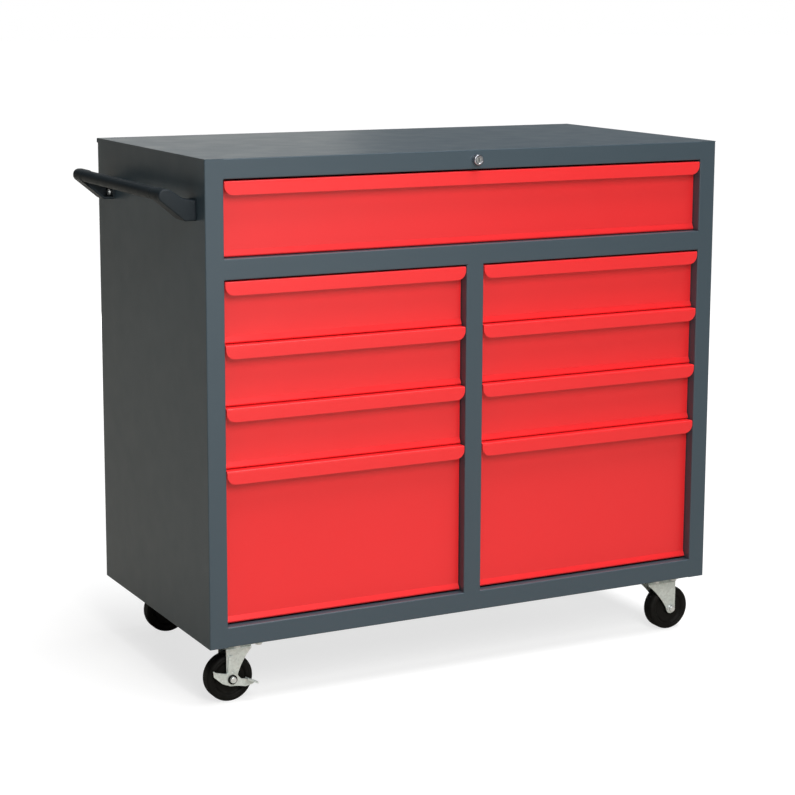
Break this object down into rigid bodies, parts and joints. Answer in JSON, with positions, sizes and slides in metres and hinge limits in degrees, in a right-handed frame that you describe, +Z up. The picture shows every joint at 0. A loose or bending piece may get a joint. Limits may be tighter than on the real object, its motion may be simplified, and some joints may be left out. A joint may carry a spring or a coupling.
{
  "type": "rolling tool cabinet",
  "caption": "Rolling steel tool cabinet with full-width folded drawer pulls, a side push handle, a front lock and swivel casters.",
  "frame": {"origin": "on the floor under the middle of the whole object's bounding box, side handle and lock included", "axes": "+X to the cabinet's right as one faces the drawers, +Y to the back, +Z up"},
  "size_m": [1.1362, 0.559, 0.988],
  "materials": {
    "grey_paint": "satin powder coat",
    "red_paint": "satin powder coat",
    "tray_paint": "satin powder coat",
    "zinc_rail": "zinc plated",
    "zinc_pressing": "zinc plated",
    "zinc_fastener": "bright zinc",
    "wheel_black": "satin",
    "handle_black": "satin black",
    "lock_chrome": "polished",
    "lock_steel": "plain"
  },
  "bodies": {
    "cabinet": {"back_panel": "grey_paint", "body_stiffeners": "grey_paint", "bottom_panel": "grey_paint", "caster_bolts": "zinc_fastener", "caster_plates": "zinc_pressing", "centre_partition": "grey_paint", "handle_brackets": "handle_black", "handle_grip": "handle_black", "handle_screws": "zinc_fastener", "left_side_panel": "grey_paint", "lock_fixings": "lock_steel", "lock_housing": "lock_chrome", "mid_rail": "grey_paint", "right_side_panel": "grey_paint", "slide_outer_members": "zinc_rail", "top_panel": "grey_paint"},
    "drawer_1": {"drawer_front_1": "red_paint", "drawer_tray_1": "tray_paint", "drawer_runners_1": "zinc_rail"},
    "drawer_2": {"drawer_front_2": "red_paint", "drawer_tray_2": "tray_paint", "drawer_runners_2": "zinc_rail"},
    "drawer_3": {"drawer_front_3": "red_paint", "drawer_tray_3": "tray_paint", "drawer_runners_3": "zinc_rail"},
    "drawer_4": {"drawer_front_4": "red_paint", "drawer_tray_4": "tray_paint", "drawer_runners_4": "zinc_rail"},
    "drawer_5": {"drawer_front_5": "red_paint", "drawer_tray_5": "tray_paint", "drawer_runners_5": "zinc_rail"},
    "drawer_6": {"drawer_front_6": "red_paint", "drawer_tray_6": "tray_paint", "drawer_runners_6": "zinc_rail"},
    "drawer_7": {"drawer_front_7": "red_paint", "drawer_tray_7": "tray_paint", "drawer_runners_7": "zinc_rail"},
    "drawer_8": {"drawer_front_8": "red_paint", "drawer_tray_8": "tray_paint", "drawer_runners_8": "zinc_rail"},
    "drawer_9": {"drawer_front_9": "red_paint", "drawer_tray_9": "tray_paint", "drawer_runners_9": "zinc_rail"},
    "lock_cylinder": {"lock_plug": "lock_chrome", "lock_shaft": "lock_steel"},
    "locking_bar": {"lock_bar": "lock_steel"},
    "swivel_front_left": {"fork_front_left": "zinc_pressing", "axle_front_left": "zinc_fastener"},
    "roller_front_left": {"wheel_front_left": "wheel_black"},
    "swivel_front_right": {"fork_front_right": "zinc_pressing", "axle_front_right": "zinc_fastener"},
    "roller_front_right": {"wheel_front_right": "wheel_black"},
    "swivel_rear_left": {"fork_rear_left": "zinc_pressing", "axle_rear_left": "zinc_fastener"},
    "roller_rear_left": {"wheel_rear_left": "wheel_black"},
    "swivel_rear_right": {"fork_rear_right": "zinc_pressing", "axle_rear_right": "zinc_fastener"},
    "roller_rear_right": {"wheel_rear_right": "wheel_black"},
    "brake_front_left": {"brake_lever_front_left": "zinc_pressing"},
    "brake_rear_right": {"brake_lever_rear_right": "zinc_pressing"}
  },
  "joints": [
    {"name": "drawer_1_slide", "type": "slide", "parent": "cabinet", "child": "drawer_1", "axis": [0, -1, 0], "range_m": [0, 0.35]},
    {"name": "drawer_2_slide", "type": "slide", "parent": "cabinet", "child": "drawer_2", "axis": [0, -1, 0], "range_m": [0, 0.35]},
    {"name": "drawer_3_slide", "type": "slide", "parent": "cabinet", "child": "drawer_3", "axis": [0, -1, 0], "range_m": [0, 0.35]},
    {"name": "drawer_4_slide", "type": "slide", "parent": "cabinet", "child": "drawer_4", "axis": [0, -1, 0], "range_m": [0, 0.35]},
    {"name": "drawer_5_slide", "type": "slide", "parent": "cabinet", "child": "drawer_5", "axis": [0, -1, 0], "range_m": [0, 0.35]},
    {"name": "drawer_6_slide", "type": "slide", "parent": "cabinet", "child": "drawer_6", "axis": [0, -1, 0], "range_m": [0, 0.35]},
    {"name": "drawer_7_slide", "type": "slide", "parent": "cabinet", "child": "drawer_7", "axis": [0, -1, 0], "range_m": [0, 0.35]},
    {"name": "drawer_8_slide", "type": "slide", "parent": "cabinet", "child": "drawer_8", "axis": [0, -1, 0], "range_m": [0, 0.35]},
    {"name": "drawer_9_slide", "type": "slide", "parent": "cabinet", "child": "drawer_9", "axis": [0, -1, 0], "range_m": [0, 0.35]},
    {"name": "lock_turn", "type": "hinge", "parent": "cabinet", "child": "lock_cylinder", "pos_m": [0.0346, -0.2695, 0.9698], "axis": [0, 1, 0], "range_deg": [0, 90]},
    {"name": "locking_bar_drop", "type": "slide", "parent": "cabinet", "child": "locking_bar", "axis": [0, 0, -1], "range_m": [0, 0.01697]},
    {"name": "swivel_front_left_turn", "type": "hinge", "parent": "cabinet", "child": "swivel_front_left", "pos_m": [-0.4189, -0.2175, 0.1037], "axis": [0, 0, 1], "continuous": true},
    {"name": "roller_front_left_spin", "type": "hinge", "parent": "swivel_front_left", "child": "roller_front_left", "pos_m": [-0.4449, -0.2175, 0.04445], "axis": [0, 1, 0], "continuous": true},
    {"name": "brake_front_left_press", "type": "hinge", "parent": "swivel_front_left", "child": "brake_front_left", "pos_m": [-0.4449, -0.2375, 0.04445], "axis": [0, 1, 0], "range_deg": [0, 14]},
    {"name": "swivel_front_right_turn", "type": "hinge", "parent": "cabinet", "child": "swivel_front_right", "pos_m": [0.4881, -0.2175, 0.1037], "axis": [0, 0, 1], "continuous": true},
    {"name": "roller_front_right_spin", "type": "hinge", "parent": "swivel_front_right", "child": "roller_front_right", "pos_m": [0.5141, -0.2175, 0.04445], "axis": [0, 1, 0], "continuous": true},
    {"name": "swivel_rear_left_turn", "type": "hinge", "parent": "cabinet", "child": "swivel_rear_left", "pos_m": [-0.4189, 0.2235, 0.1037], "axis": [0, 0, 1], "continuous": true},
    {"name": "roller_rear_left_spin", "type": "hinge", "parent": "swivel_rear_left", "child": "roller_rear_left", "pos_m": [-0.3929, 0.2235, 0.04445], "axis": [0, 1, 0], "continuous": true},
    {"name": "swivel_rear_right_turn", "type": "hinge", "parent": "cabinet", "child": "swivel_rear_right", "pos_m": [0.4881, 0.2235, 0.1037], "axis": [0, 0, 1], "continuous": true},
    {"name": "roller_rear_right_spin", "type": "hinge", "parent": "swivel_rear_right", "child": "roller_rear_right", "pos_m": [0.5141, 0.2235, 0.04445], "axis": [0, 1, 0], "continuous": true},
    {"name": "brake_rear_right_press", "type": "hinge", "parent": "swivel_rear_right", "child": "brake_rear_right", "pos_m": [0.5141, 0.2035, 0.04445], "axis": [0, -1, 0], "range_deg": [0, 14]}
  ],
  "couplings": [
    {"joint": "lock_turn", "follows": "locking_bar_drop", "rad_per_m": 92.55}
  ]
}
